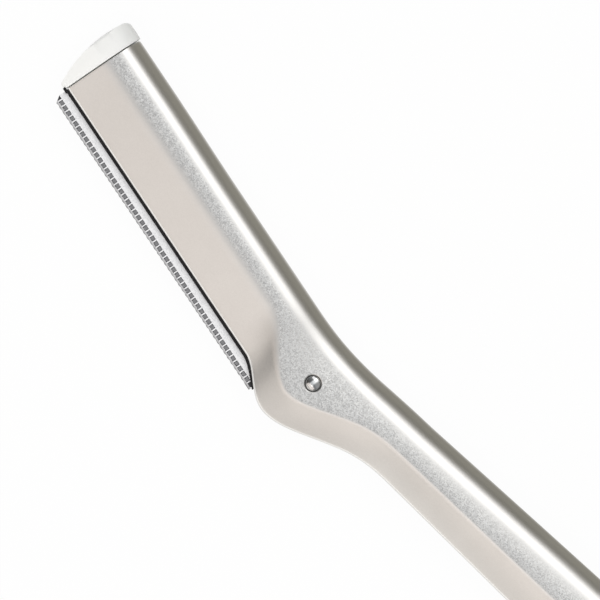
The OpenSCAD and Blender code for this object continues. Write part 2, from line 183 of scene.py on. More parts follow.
@dataclass(frozen=True)
class RazorForm:
    """The razor's driving sizes, and the curves of its skin that follow from them."""

    rivet: Vector
    half_t: float
    head_len: float
    head_back: float = 6.1
    tip_swell: float = 0.14
    lip_drop: float = 5.2
    half_lip: float = 1.6
    head_crease: float = 0.95
    bend: float = math.radians(12.75)
    bend_run: float = 7.5
    heel_drop: float = 7.9
    heel_run: Span = (-8.2, -1.5)
    neck_from: float = -1.4
    neck_to: float = 15.4
    crease_dip: float = 3.95
    handle_len: float = 97.0
    handle_back: float = 6.55
    handle_low: float = 2.8
    handle_crease: float = 1.0
    back_growth: float = 1.3
    low_growth: float = 1.0
    tail_round: float = 6.0
    head_round: float = 3.7
    elbow_round: float = 3.9
    handle_round: float = 4.3
    bow: float = 0.055
    bow_run: Span = (-6.0, 6.0)
    edge_r: float = 0.32
    head_soft: float = 1.1
    handle_soft: float = 0.4
    dip_from: float = -12.0
    dip_to: float = -1.0
    climb_from: float = -1.6
    climb_to: float = 14.0
    back_from: float = -4.0
    swell_run: Span = (-42.0, -27.0)
    handle_edge: float = 1.5
    side_lean: float = 8.0
    handle_lean: float = 11.5
    lean_run: Span = (-20.0, -5.0)
    handle_lean_run: Span = (4.0, 20.0)
    handle_round_from: float = 2.0
    least_run: float = 0.05
    fit_rounds: int = 5
    recess_r: float = 1.12
    recess_depth: float = 0.45

    @classmethod
    def from_frame(cls) -> RazorForm:
        """Reads the rivet's place, the middle plane and the head's length off the frame.

        Returns:
            The form, placed where the frame has the razor.
        """
        rivet_low, rivet_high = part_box("elbow_rivet")
        shell_low, shell_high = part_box("near_shell")
        centre = (rivet_low + rivet_high) / 2
        centre.z = shell_low.z
        return cls(
            rivet=centre,
            half_t=(shell_high.z - shell_low.z) / MM,
            head_len=(centre.x - shell_low.x) / MM,
        )

    def place(self, x: float, y: float, z: float) -> Vector:
        """Returns a point in metres in the frame, from millimetres from the rivet."""
        return self.rivet + Vector((x, y, z)) * MM

    @property
    def bend_r(self) -> float:
        """Returns the radius of the elbow's arc."""
        return self.bend_run / math.tan(self.bend / 2)

    @property
    def half_arc(self) -> float:
        """Returns half the length of the elbow's arc."""
        return self.bend_r * self.bend / 2

    def along(self, x: float) -> float:
        """Returns the place along the axis of a point of the head at x."""
        return x - self.half_arc + self.bend_run

    def turn(self, u: float) -> float:
        """Returns how far the axis has turned at a place along it, in radians."""
        return self.bend * unit((u / self.half_arc + 1) / 2)

    def across(self, u: float, y: float) -> Point:
        """Turns a place along and across the axis into x and y.

        Args:
            u: Place along the axis.
            y: Distance from the axis towards the back.

        Returns:
            Its x and y, in millimetres from the rivet.
        """
        turn = self.turn(u)
        if u < -self.half_arc:
            x0, y0 = u + self.half_arc - self.bend_run, 0.0
        elif u > self.half_arc:
            run = self.bend_run + u - self.half_arc
            x0, y0 = run * math.cos(self.bend), run * math.sin(self.bend)
        else:
            x0 = self.bend_r * math.sin(turn) - self.bend_run
            y0 = self.bend_r * (1 - math.cos(turn))
        return x0 - y * math.sin(turn), y0 + y * math.cos(turn)

    def grown(self, u: float) -> float:
        """Returns the share of its growth that the handle has reached at u."""
        share = unit((u - self.neck_to) / (self.handle_len - self.neck_to))
        return math.sin(share * math.pi / 2)

    def back_at(self, u: float) -> float:
        """Measures the razor from its axis to its back.

        Args:
            u: Place along the axis.

        Returns:
            The distance to the back.
        """
        base = mix(self.head_back, self.handle_back, rise(u, self.back_from, self.climb_to))
        swell = self.tip_swell * (1 - rise(u, *self.swell_run))
        return base + self.back_growth * self.grown(u) + swell

    def low_at(self, u: float) -> float:
        """Finds the razor's lower edge, which is the lip along the head.

        Args:
            u: Place along the axis.

        Returns:
            The edge's place across, below 0.
        """
        head = mix(self.lip_drop, self.heel_drop, rise(u, *self.heel_run))
        handle = self.handle_low + self.low_growth * self.grown(u)
        return -mix(head, handle, climb(u, self.neck_from, self.neck_to))

    def crease_at(self, u: float) -> float:
        """Returns the place of the crease between the flat side and the facet at u."""
        dip = mix(self.head_crease, -self.crease_dip, rise(u, self.dip_from, self.dip_to))
        return mix(dip, self.handle_crease, climb(u, self.climb_from, self.climb_to))

    def soft_at(self, u: float) -> float:
        """Returns how far the crease's softness reaches to each side of it at u."""
        return mix(self.head_soft, self.handle_soft, rise(u, self.dip_from, self.dip_to))

    def crown(self, u: float, inset: float, proud: float = 0.0) -> Crown:
        """Fits the back's arc to the side, which falls away a little towards the back.

        Args:
            u: Place along the axis.
            inset: Distance that the section is drawn in by.
            proud: Distance that the back stands out by.

        Returns:
            The crowned side and the arc that it runs into.
        """
        top, back = self.half_t - inset, self.back_at(u) + proud - inset
        leaning = rise(u, *self.lean_run)
        lean = mix(self.side_lean, self.handle_lean, rise(u, *self.handle_lean_run))
        lean = math.tan(math.radians(lean * leaning))
        depth = mix(self.head_round, self.elbow_round, leaning)
        fuller = rise(u, self.handle_round_from, self.climb_to)
        depth = mix(depth, self.handle_round, fuller) - inset
        start = self.crease_at(u) + self.soft_at(u)
        height, end, meet = top, math.pi / 2, back - depth
        for _ in range(self.fit_rounds):
            end = math.atan2(height, depth * lean)
            meet = max(back - depth * (1 - math.cos(end)), start + self.least_run)
            height = (top - lean / 2 * (meet - start)) / math.sin(end)
        return Crown(top, lean, start, meet, back, depth, height, end)

    def section(self, u: float, inset: float, proud: float = 0.0, drop: float = 0.0) -> list[Point]:
        """Draws half a section, from the back over the side down to the lower edge.

        Args:
            u: Place along the axis.
            inset: Distance that the section is drawn in by.
            proud: Distance that the back stands out by.
            drop: Distance that the lower edge is lowered by.

        Returns:
            Points as (across, up), the same number of them at every place.
        """
        crown = self.crown(u, inset, proud)
        top, low = crown.top, self.low_at(u) + inset - drop
        edge = mix(self.half_lip, self.handle_edge, rise(u, self.neck_from, self.neck_to))
        edge -= inset
        crease, soft = self.crease_at(u), self.soft_at(u)
        slope = (top - edge) / (crease - low)
        r = min(self.edge_r, edge / 2)
        points = [crown.arc(a) for a in spread(0.0, crown.end, BACK_STEPS)]
        flat = spread(crown.meet, crown.start, FLAT_STEPS)[1:-1]
        points += [(y, crown.height_at(y)) for y in flat]
        for k in spread(0.0, 1.0, CREASE_STEPS):
            lift = k * k * soft * slope
            points.append((crease + soft - 2 * soft * k, top - lift))
        bow = 4 * self.bow * rise(u, *self.bow_run)
        for k in spread(0.0, 1.0, FACET_STEPS)[1:-1]:
            y = mix(crease - soft, low + r, k)
            points.append((y, top - (crease - y) * slope + bow * k * (1 - k)))
        for fall, run in rounding(r, EDGE_STEPS):
            points.append((low + run, edge - fall + run * slope))
        points += [(low, z) for z in spread(edge - r, 0.0, WALL_STEPS)[1:]]
        return points

    def ring(self, u: float, inset: float, end: float) -> list[Vector]:
        """Places a section at u, shrunk about its middle where the tail rounds off.

        Args:
            u: Place along the axis.
            inset: Distance that the skin is drawn in by.
            end: Place along the axis where the skin's tail ends.

        Returns:
            The ring's points in metres, in the frame.
        """
        share = unit((u - end + self.tail_round) / self.tail_round)
        side, up = math.sqrt(1 - share**2), math.sqrt(1 - share**3)
        mid = (self.back_at(u) + self.low_at(u)) / 2
        ring = []
        for y, z in self.section(u, inset):
            x, across = self.across(u, mid + (y - mid) * side)
            ring.append(self.place(x, across, z * up))
        return ring

    def stations(self, end: float) -> list[float]:
        """Chooses where along the axis the skin has a ring.

        Args:
            end: Place along the axis where the skin's tail ends.

        Returns:
            The places, closer together at the elbow and the tail.
        """
        seam = self.along(-self.head_len)
        tail = end - self.tail_round
        return (
            spread(seam, self.dip_from, HEAD_ROWS)
            + spread(self.dip_from, self.climb_to, ELBOW_ROWS)[1:]
            + spread(self.climb_to, tail, HANDLE_ROWS)[1:]
            + [tail + self.tail_round * math.sin(a) for a in quarter(TAIL_ROWS)[1:]]
        )


class Sock:
    """A shader socket that takes part in Python expressions, each adding its Math node."""

    def __init__(self, graph: Graph, socket: NodeSocket) -> None:
        """Keeps the graph that new nodes go into, and the socket."""
        self.graph = graph
        self.socket = socket

    def _math(self, operation: str, other: Value = 0.0) -> Sock:
        """Returns the result of a Math node for self and the other value."""
        sockets = {0: self, 1: other}
        return self.graph.out(self.graph.add("ShaderNodeMath", {"operation": operation}, sockets))

    def __add__(self, other: Value) -> Sock:
        """Returns self + other."""
        return self._math("ADD", other)

    def __sub__(self, other: Value) -> Sock:
        """Returns self - other."""
        return self._math("SUBTRACT", other)

    def __mul__(self, other: Value) -> Sock:
        """Returns self * other."""
        return self._math("MULTIPLY", other)

    def unsigned(self) -> Sock:
        """Returns self without its sign."""
        return self._math("ABSOLUTE")

    def within(self, period: Value) -> Sock:
        """Returns where self lies in its period, from 0 on."""
        return self._math("FLOORED_MODULO", period)

    def at_least(self, other: Value) -> Sock:
        """Returns the larger of self and other."""
        return self._math("MAXIMUM", other)

    def angle_from(self, other: Value) -> Sock:
        """Returns the angle whose sine and cosine are in proportion to self and other."""
        return self._math("ARCTAN2", other)


SOFT_STEP = {"interpolation_type": "SMOOTHSTEP"}
Value = Sock | float | Sequence[float]
Levels = tuple[Sock, Sock, Sock]


class Graph:
    """A node tree that starts empty, with one way to add a node."""

    def __init__(self, tree: ShaderNodeTree) -> None:
        """Clears the tree and keeps it."""
        self.tree = tree
        tree.nodes.clear()

    def add(
        self,
        kind: str,
        settings: dict[str, object] | None = None,
        sockets: dict[str | int, Value] | None = None,
    ) -> Node:
        """Adds a node.

        Args:
            kind: The node's type.
            settings: Properties of the node, set before its sockets.
            sockets: Values or links by the socket's name, identifier or number.

        Returns:
            The new node.
        """
        node = self.tree.nodes.new(kind)
        for name, value in (settings or {}).items():
            setattr(node, name, value)
        for key, value in (sockets or {}).items():
            named = (s for s in node.inputs if key in (s.name, s.identifier))
            socket = node.inputs[key] if isinstance(key, int) else next(named)
            if isinstance(value, Sock):
                self.tree.links.new(value.socket, socket)
            elif socket.type == "RGBA" and len(value) == 3:
                socket.default_value = (*value, 1.0)
            else:
                socket.default_value = value
        return node

    def out(self, node: Node, key: str | int = 0) -> Sock:
        """Returns one of a node's outputs, by name or number."""
        return Sock(self, node.outputs[key])

    def object_mm(self) -> Sock:
        """Returns Object coordinates in millimetres."""
        place = self.out(self.add("ShaderNodeTexCoord"), "Object")
        return self.stretched(place, (1 / MM,) * 3)

    def surface_normal(self) -> Sock:
        """Returns the surface's own normal."""
        return self.out(self.add("ShaderNodeNewGeometry"), "Normal")

    def noise(self, place: Value, per_mm: float, detail: float = 2.0) -> Sock:
        """Returns smooth noise about the middle, with that many features a millimetre."""
        sockets = {"Vector": place, "Scale": per_mm, "Detail": detail}
        return self.out(self.add("ShaderNodeTexNoise", {}, sockets))

    def cells(self, place: Value, per_mm: float) -> Sock:
        """Returns a random colour for each small cell."""
        sockets = {"Vector": place, "Scale": per_mm}
        return self.out(self.add("ShaderNodeTexVoronoi", {}, sockets), "Color")

    def flakes(self, place: Value, per_mm: float) -> Sock:
        """Returns a random level between 0 and 1 for each small cell."""
        return self.out(self.add("ShaderNodeSeparateColor", {}, {0: self.cells(place, per_mm)}))

    def stretched(self, place: Value, scale: Sequence[float]) -> Sock:
        """Returns the place scaled by its own amount along each axis."""
        return self.out(self.add("ShaderNodeMapping", {}, {"Vector": place, "Scale": scale}))

    def vector(
        self, operation: str, first: Value, second: Value = (0.0, 0.0, 0.0), key: str | int = 0
    ) -> Sock:
        """Returns the result of a Vector Math node."""
        sockets = {0: first, 1: second}
        return self.out(self.add("ShaderNodeVectorMath", {"operation": operation}, sockets), key)

    def apart(self, place: Value) -> tuple[Sock, Sock, Sock]:
        """Returns a vector's three numbers."""
        node = self.add("ShaderNodeSeparateXYZ", {}, {0: place})
        return self.out(node, 0), self.out(node, 1), self.out(node, 2)

    def step(self, level: Value, start: float, end: float) -> Sock:
        """Returns a soft step from 0 at start to 1 at end."""
        sockets = {"Value": level, "From Min": start, "From Max": end}
        return self.out(self.add("ShaderNodeMapRange", SOFT_STEP, sockets))

    def ramp(self, level: Value, stops: Sequence[tuple[float, Color]]) -> Sock:
        """Turns a level into a colour.

        Args:
            level: A level from 0 to 1.
            stops: Levels, and the colours that they give.

        Returns:
            The colour, which changes evenly between stops.
        """
        node = self.add("ShaderNodeValToRGB", {}, {0: level})
        elements = node.color_ramp.elements
        while len(elements) < len(stops):
            elements.new(1.0)
        for element, (place, color) in zip(elements, stops):
            element.position, element.color = place, (*color, 1.0)
        return self.out(node)

    def blend(self, dark: Value, light: Value, share: Value) -> Sock:
        """Mixes two colours.

        Args:
            dark: The colour at share 0.
            light: The colour at share 1.
            share: How far to go from the first colour to the second.

        Returns:
            The mixed colour.
        """
        sockets = {"Factor_Float": share, "A_Color": dark, "B_Color": light}
        node = self.add("ShaderNodeMix", {"data_type": "RGBA"}, sockets)
        return Sock(self, next(s for s in node.outputs if s.identifier == "Result_Color"))


@dataclass(frozen=True)
class Finish:
    """A plain moulded finish with a grain and soft clouds. Finishes with more extend it."""

    name: str
    slot: str
    color: Color
    shade: Color
    roughness: float
    metallic: float = 0.0
    coat: float = 0.0
    specular: float = 0.5
    grain_per_mm: float = 5.0
    grain_depth: float = 0.004
    grain_share: float = 0.5
    cloud_per_mm: float = 0.25
    cloud_detail: float = 3.0
    cloud_levels: Span = (0.2, 0.7)
    cloud_rough: float = 0.08

    def levels(self, graph: Graph, place: Sock) -> Levels:
        """Makes the finish uneven by its grain and clouds.

        Args:
            graph: Where the nodes go.
            place: Object coordinates in millimetres.

        Returns:
            The share of the full colour, the change of roughness, and the height.
        """
        grain = graph.noise(place, self.grain_per_mm)
        cloud = graph.noise(place, self.cloud_per_mm, self.cloud_detail)
        share = (grain - MIDDLE) * self.grain_share + graph.step(cloud, *self.cloud_levels)
        return share, (cloud - MIDDLE) * self.cloud_rough, grain

    def marked(self, graph: Graph, place: Sock, color: Sock) -> Sock:
        """Returns the colour with the marks and painted shade that this finish has in certain
        places.
        """
        return color

    def normal(self, graph: Graph, place: Sock, height: Sock) -> Sock:
        """Returns the normal, roughened by the height."""
        sockets = {"Strength": 1.0, "Distance": self.grain_depth * MM, "Height": height}
        return graph.out(graph.add("ShaderNodeBump", {}, sockets))

    def build(self) -> Material:
        """Builds the material.

        Returns:
            A new material with the finish's name.
        """
        made = bpy.data.materials.new(self.name)
        made.use_nodes = True
        graph = Graph(made.node_tree)
        place = graph.object_mm()
        share, rougher, height = self.levels(graph, place)
        color = self.marked(graph, place, graph.blend(self.shade, self.color, share))
        sockets = {
            "Base Color": color,
            "Roughness": rougher + self.roughness,
            "Metallic": self.metallic,
            "Coat Weight": self.coat,
            "Specular IOR Level": self.specular,
            "Normal": self.normal(graph, place, height),
        }
        surface = graph.out(graph.add("ShaderNodeBsdfPrincipled", {}, sockets))
        graph.add("ShaderNodeOutputMaterial", {}, {"Surface": surface})
        return made

    def material(self) -> Material:
        """Returns the finish's material, which is built when it is first asked for."""
        return bpy.data.materials.get(self.name) or self.build()


@dataclass(frozen=True, kw_only=True)
class SatinMetal(Finish):
    """Satin champagne metal; flakes show on the flat side, in colour as painted glint, and lie
    smooth elsewhere.
    """

    rivet: Point
    recess_r: float
    cloud_per_mm: float = 0.12
    cloud_levels: Span = (0.2, 0.8)
    cloud_rough: float = 0.04
    # Flakes: cells, a colour share that is partly painted glint, and their tilt
    flake_per_mm: float = 7.0
    flake_share: float = 0.5
    flake_tilt: float = 0.1
    facet_fade: Span = (-0.15, -0.02)
    back_fade: Span = (0.24, 0.08)
    least_sparkle: float = 0.07
    # Painted shade in the rivet's recess: where it fades in, and its colour
    recess_shade_fade: Span = (0.03, -0.02)
    recess_shade_color: Color = (0.05, 0.048, 0.046)

    def levels(self, graph: Graph, place: Sock) -> Levels:
        """Returns the share of the full colour, the change of roughness, and the height."""
        cloud = graph.noise(place, self.cloud_per_mm, self.cloud_detail)
        return graph.step(cloud, *self.cloud_levels), (cloud - MIDDLE) * self.cloud_rough, cloud

    def sparkle(self, graph: Graph) -> Sock:
        """Finds the flat side by how far the surface turns to the front or the back.

        Args:
            graph: Where the nodes go.

        Returns:
            How much the flakes show: fully on the flat side, and little on facet and back. In the
                colour, this is painted glint.
        """
        _, back, _ = graph.apart(graph.surface_normal())
        flat = graph.step(back, *self.facet_fade) * graph.step(back, *self.back_fade)
        return flat * (1 - self.least_sparkle) + self.least_sparkle

    def marked(self, graph: Graph, place: Sock, color: Sock) -> Sock:
        """Varies the colour by the flakes, with painted glint, and paints shade into the rivet's
        recess.

        Args:
            graph: Where the nodes go.
            place: Object coordinates in millimetres.
            color: The colour without marks.

        Returns:
            The marked colour.
        """
        flake = graph.flakes(place, self.flake_per_mm)
        # Flake grain in the colour, strong only on the flat side: partly real grain, partly painted
        # glint
        grain = (flake - MIDDLE) * self.flake_share * self.sparkle(graph) + 1.0
        # Painted shade: near black within the rivet's recess, where shade falls
        out = graph.vector("SUBTRACT", place, (*self.rivet, 0.0))
        flat = graph.vector("MULTIPLY", out, (1.0, 1.0, 0.0))
        radius = graph.vector("LENGTH", flat, key="Value")
        inside = graph.step(radius, *(self.recess_r + fade for fade in self.recess_shade_fade))
        return graph.blend(graph.vector("MULTIPLY", color, grain), self.recess_shade_color, inside)

    def normal(self, graph: Graph, place: Sock, height: Sock) -> Sock:
        """Tilts the surface a little for each flake.

        Args:
            graph: Where the nodes go.
            place: Object coordinates in millimetres.
            height: The height, which this finish has no use for.

        Returns:
            The tilted normal.
        """
        askew = graph.vector("SUBTRACT", graph.cells(place, self.flake_per_mm), (MIDDLE,) * 3)
        tilt = graph.vector("MULTIPLY", askew, self.sparkle(graph) * self.flake_tilt)
        return graph.vector("NORMALIZE", graph.vector("ADD", graph.surface_normal(), tilt))


@dataclass(frozen=True)
class DrawnSteel(Finish):
    """Bright steel with fine lines along one direction, as rolling or grinding leaves it."""

    cloud_per_mm: float = 0.4
    cloud_detail: float = 2.0
    cloud_rough: float = 0.06
    line_scale: tuple[float, float, float] = (0.6, 24.0, 24.0)
    line_detail: float = 3.0
    line_levels: Span = (0.25, 0.75)
    line_rough: float = 0.2

    def levels(self, graph: Graph, place: Sock) -> Levels:
        """Makes the finish uneven by its lines and clouds.

        Args:
            graph: Where the nodes go.
            place: Object coordinates in millimetres.

        Returns:
            The share of the full colour, the change of roughness, and the height.
        """
        lines = graph.noise(graph.stretched(place, self.line_scale), 1.0, self.line_detail)
        cloud = graph.noise(place, self.cloud_per_mm, self.cloud_detail)
        rougher = (lines - MIDDLE) * self.line_rough + (cloud - MIDDLE) * self.cloud_rough
        return graph.step(lines, *self.line_levels), rougher, lines


@dataclass(frozen=True, kw_only=True)
class SpeckledFoil(Finish):
    """Etched foil: pale and finely speckled, with painted shade round its windows and on its rim's
    fold.

    The first window's middle and the rim's y are millimetres in the frame.
    """

    first: Point
    pitch: float
    window: Point
    rim_y: float
    speck_per_mm: float = 4.5
    speck_levels: Span = (0.28, 0.55)
    speck_rough: float = 0.3
    fine_per_mm: float = 8.0
    fine_share: float = 0.8
    scratch_scale: tuple[float, float, float] = (0.5, 9.0, 9.0)
    scratch_share: float = 0.3
    # Noise that makes the edges of the painted shade ragged
    ragged_per_mm: float = 2.5
    # Painted shade round the windows: reach, softness, raggedness and colour
    window_shade_w: float = 0.08
    window_shade_soft: float = 0.04
    window_shade_ragged: float = 0.08
    window_shade_color: Color = (0.045, 0.045, 0.05)
    # Painted shade on the rim's fold, and darker painted shade at its outermost edge
    rim_shade_fade: Span = (0.34, 0.2)
    rim_shade_ragged: float = 0.1
    rim_shade_color: Color = (0.5, 0.5, 0.51)
    fold_edge_shade_fade: Span = (0.1, 0.03)
    fold_edge_shade_ragged: float = 0.08
    fold_edge_shade_color: Color = (0.2, 0.2, 0.205)

    def levels(self, graph: Graph, place: Sock) -> Levels:
        """Makes the finish uneven by its specks and scratches.

        Args:
            graph: Where the nodes go.
            place: Object coordinates in millimetres.

        Returns:
            The share of the full colour, the change of roughness, and the height.
        """
        speck = graph.noise(place, self.speck_per_mm)
        fine = graph.flakes(place, self.fine_per_mm)
        scratch = graph.noise(graph.stretched(place, self.scratch_scale), 1.0)
        share = graph.step(speck, *self.speck_levels) + (fine - MIDDLE) * self.fine_share
        share = share + (scratch - MIDDLE) * self.scratch_share
        return share, (speck - MIDDLE) * self.speck_rough, speck

    def marked(self, graph: Graph, place: Sock, color: Sock) -> Sock:
        """Paints shade on the rim's fold and round the windows' edges.

        Args:
            graph: Where the nodes go.
            place: Object coordinates in millimetres.
            color: The colour without marks.

        Returns:
            The marked colour.
        """
        x, y, _ = graph.apart(place)
        half = self.pitch / 2
        along = ((x - (self.first[0] - half)).within(self.pitch) - half).unsigned()
        across = (y - self.first[1]).unsigned()
        off = (along - self.window[0] / 2).at_least(across - self.window[1] / 2)
        ragged = graph.noise(place, self.ragged_per_mm) - MIDDLE
        # Painted shade round each window, where its walls would lie in shadow
        ring = graph.step(off + ragged * self.window_shade_ragged, self.window_shade_w, self.window_shade_w - self.window_shade_soft)
        # Painted shade on the rim's fold, darkest at its outer edge, where it turns down
        above = y - self.rim_y
        rim = graph.step(above + ragged * self.rim_shade_ragged, *self.rim_shade_fade)
        edge = graph.step(above + ragged * self.fold_edge_shade_ragged, *self.fold_edge_shade_fade)
        folded = graph.blend(graph.blend(color, self.rim_shade_color, rim), self.fold_edge_shade_color, edge)
        return graph.blend(folded, self.window_shade_color, ring)


@dataclass(frozen=True)
class Finishes:
    """The razor's finishes."""

    shell: Finish
    guard: Finish
    channel: Finish = Finish(
        "black_moulding", "black_plastic", (0.014, 0.013, 0.014), (0.01, 0.01, 0.01),
        roughness=0.5, grain_per_mm=8.0, specular=0.25,
    )
    cap: Finish = Finish(
        "milky_moulding", "white_plastic", (0.9, 0.905, 0.89), (0.87, 0.875, 0.86),
        roughness=0.34, grain_per_mm=3.0, grain_depth=0.0015, coat=0.1,
    )
    rivet: Finish = DrawnSteel(
        "polished_chrome", "rivet_chrome", (0.84, 0.84, 0.84), (0.76, 0.76, 0.76),
        roughness=0.07, metallic=1.0, grain_depth=0.0002, line_scale=(3.0, 3.0, 3.0),
    )
    spring: Finish = DrawnSteel(
        "rolled_spring_steel", "spring_steel", (0.64, 0.65, 0.67), (0.55, 0.56, 0.58),
        roughness=0.28, metallic=1.0, grain_depth=0.001,
    )
    # Steel, darker than bare steel: partly painted shade, so that the guard's windows read dark
    blade: Finish = DrawnSteel(
        "ground_blade_steel", "blade_steel", (0.36, 0.365, 0.38), (0.24, 0.245, 0.255),
        roughness=0.26, metallic=1.0, grain_depth=0.001, line_scale=(26.0, 0.7, 26.0),
    )

    @classmethod
    def of(cls, form: RazorForm, guard: GuardFoil) -> Finishes:
        """Makes the finishes, with the painted shade that lies in the rivet's recess and round the
        windows.

        Args:
            form: The razor's form, which has the rivet's place.
            guard: The foil, which has the windows' places.

        Returns:
            The finishes.
        """
        at = form.rivet / MM
        shell = SatinMetal(
            "champagne_satin", "shell_finish", (0.815, 0.8, 0.78), (0.765, 0.75, 0.73),
            roughness=0.3, metallic=1.0, rivet=(at.x, at.y), recess_r=form.recess_r,
        )
        foil = SpeckledFoil(
            "etched_foil", "guard_foil", (0.92, 0.925, 0.94), (0.77, 0.775, 0.795),
            roughness=0.42, metallic=0.25,
            first=(at.x + guard.first_x + guard.pitch / 2, at.y + guard.window_y),
            pitch=guard.pitch, window=(guard.window_w, guard.window_h), rim_y=at.y - guard.rim,
        )
        return cls(shell, foil)


def linked(name: str, data: ID) -> Object:
    """Adds an object to the scene.

    Args:
        name: The object's name.
        data: The mesh, lamp or camera that it shows.

    Returns:
        The object, at the origin.
    """
    made = bpy.data.objects.new(name, data)
    bpy.context.scene.collection.objects.link(made)
    return made


def new_piece(name: str, bm: BMesh, finish: Finish, smooth_under: float = SMOOTH_UNDER) -> Object:
    """Turns a mesh in progress into an object with a finish.

    Args:
        name: The piece's name.
        bm: The mesh in progress, which is freed.
        finish: What the piece is finished in.
        smooth_under: Edges that turn by less than this many degrees are shaded smooth.

    Returns:
        The object, at the origin with its place in its mesh.
    """
    mesh = bpy.data.meshes.new(name)
    bm.to_mesh(mesh)
    bm.free()
    piece = linked(name, mesh)
    mesh.materials.append(finish.material())
    shade(piece, smooth_under)
    return piece


def shade(piece: Object, smooth_under: float = SMOOTH_UNDER) -> None:
    """Shades a piece smooth, but for edges that turn by more than that many degrees."""
    piece.data.polygons.foreach_set("use_smooth", [True] * len(piece.data.polygons))
    piece.data.set_sharp_from_angle(angle=math.radians(smooth_under))


def carve(piece: Object, tools: Sequence[Object], action: Carve) -> None:
    """Carves a piece with closed tools, which are used up.

    Args:
        piece: The piece, whose mesh is replaced by the result.
        tools: Closed objects, used one after another.
        action: Whether the tools are cut away or are all that is kept.
    """
    for tool in tools:
        step = piece.modifiers.new(tool.name, "BOOLEAN")
        step.operation, step.solver, step.object = action.value, "EXACT", tool
    bpy.context.view_layer.update()
    result = piece.evaluated_get(bpy.context.evaluated_depsgraph_get())
    carved = bpy.data.meshes.new_from_object(result)
    piece.modifiers.clear()
    piece.data = carved
    for tool in tools:
        bpy.data.objects.remove(tool)


def register(piece: Object, body: Body, node: str) -> None:
    """Makes a piece ride on its body and stand for a CAD node, which it hides.

    Args:
        piece: The piece.
        body: The body that it rides on.
        node: The CAD node that it stands for.
    """
    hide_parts(node)
    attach(piece, body.value)
    log.info("%s: %d faces, on %s", piece.name, len(piece.data.polygons), body.value)


def lathe(bm: BMesh, profile: Sequence[Point]) -> None:
    """Spins a profile a full turn about Z.

    Args:
        bm: The mesh in progress.
        profile: Points as (radius, height) in millimetres, from the axis back to the axis.
    """
    verts = [bm.verts.new((r * MM, 0.0, z * MM)) for r, z in profile]
    edges = [bm.edges.new(pair) for pair in zip(verts, verts[1:])]
    bmesh.ops.spin(
        bm, geom=verts + edges, cent=(0, 0, 0), axis=(0, 0, 1), angle=math.tau,
        steps=TURN_STEPS, use_merge=True,
    )
    bmesh.ops.remove_doubles(bm, verts=bm.verts, dist=ONE_POINT)
    bmesh.ops.recalc_face_normals(bm, faces=bm.faces)


def whole(bm: BMesh) -> list[BMVert | BMEdge | BMFace]:
    """Returns everything that a mesh in progress is made of."""
    return [*bm.verts, *bm.edges, *bm.faces]


def add_grid(bm: BMesh, rows: int, columns: int) -> list[tuple[BMVert, int, int]]:
    """Adds a flat grid, whose points are then placed.

    Args:
        bm: The mesh in progress.
        rows: Steps from its first row of points to its last.
        columns: Steps from its first column of points to its last.

    Returns:
        Each point, with the numbers of its row and column.
    """
    half = 0.5
    grid = bmesh.ops.create_grid(bm, x_segments=rows, y_segments=columns, size=half)
    return [
        (vert, round((vert.co.x + half) * rows), round((vert.co.y + half) * columns))
        for vert in grid["verts"]
    ]


def add_loop(bm: BMesh, points: Sequence[Vector]) -> list[BMEdge]:
    """Returns the edges of a new closed loop through points."""
    verts = [bm.verts.new(point) for point in points]
    return [bm.edges.new(pair) for pair in zip(verts, verts[1:] + verts[:1])]


def stacked(rows: Sequence[Sequence[Vector]]) -> BMesh:
    """Builds a closed solid through outlines.

    Args:
        rows: The outlines in order, each with the same number of points.

    Returns:
        The mesh in progress.
    """
    bm = bmesh.new()
    loops = [add_loop(bm, row) for row in rows]
    for pair in zip(loops, loops[1:]):
        bmesh.ops.bridge_loops(bm, edges=[*pair[0], *pair[1]])
    for loop in (loops[0], loops[-1]):
        bmesh.ops.contextual_create(bm, geom=loop)
    bmesh.ops.recalc_face_normals(bm, faces=bm.faces)
    return bm


def block_tool(name: str, low: Vector, high: Vector, finish: Finish) -> Object:
    """Makes a box-shaped carving tool.

    Args:
        name: The tool's name.
        low: Its lowest corner, in metres.
        high: Its highest corner, in metres.
        finish: The finish of what it carves.

    Returns:
        The tool.
    """
    bm = bmesh.new()
    middle, size = (low + high) / 2, high - low
    bmesh.ops.create_cube(bm, size=1.0, matrix=Matrix.LocRotScale(middle, None, size))
    return new_piece(name, bm, finish)


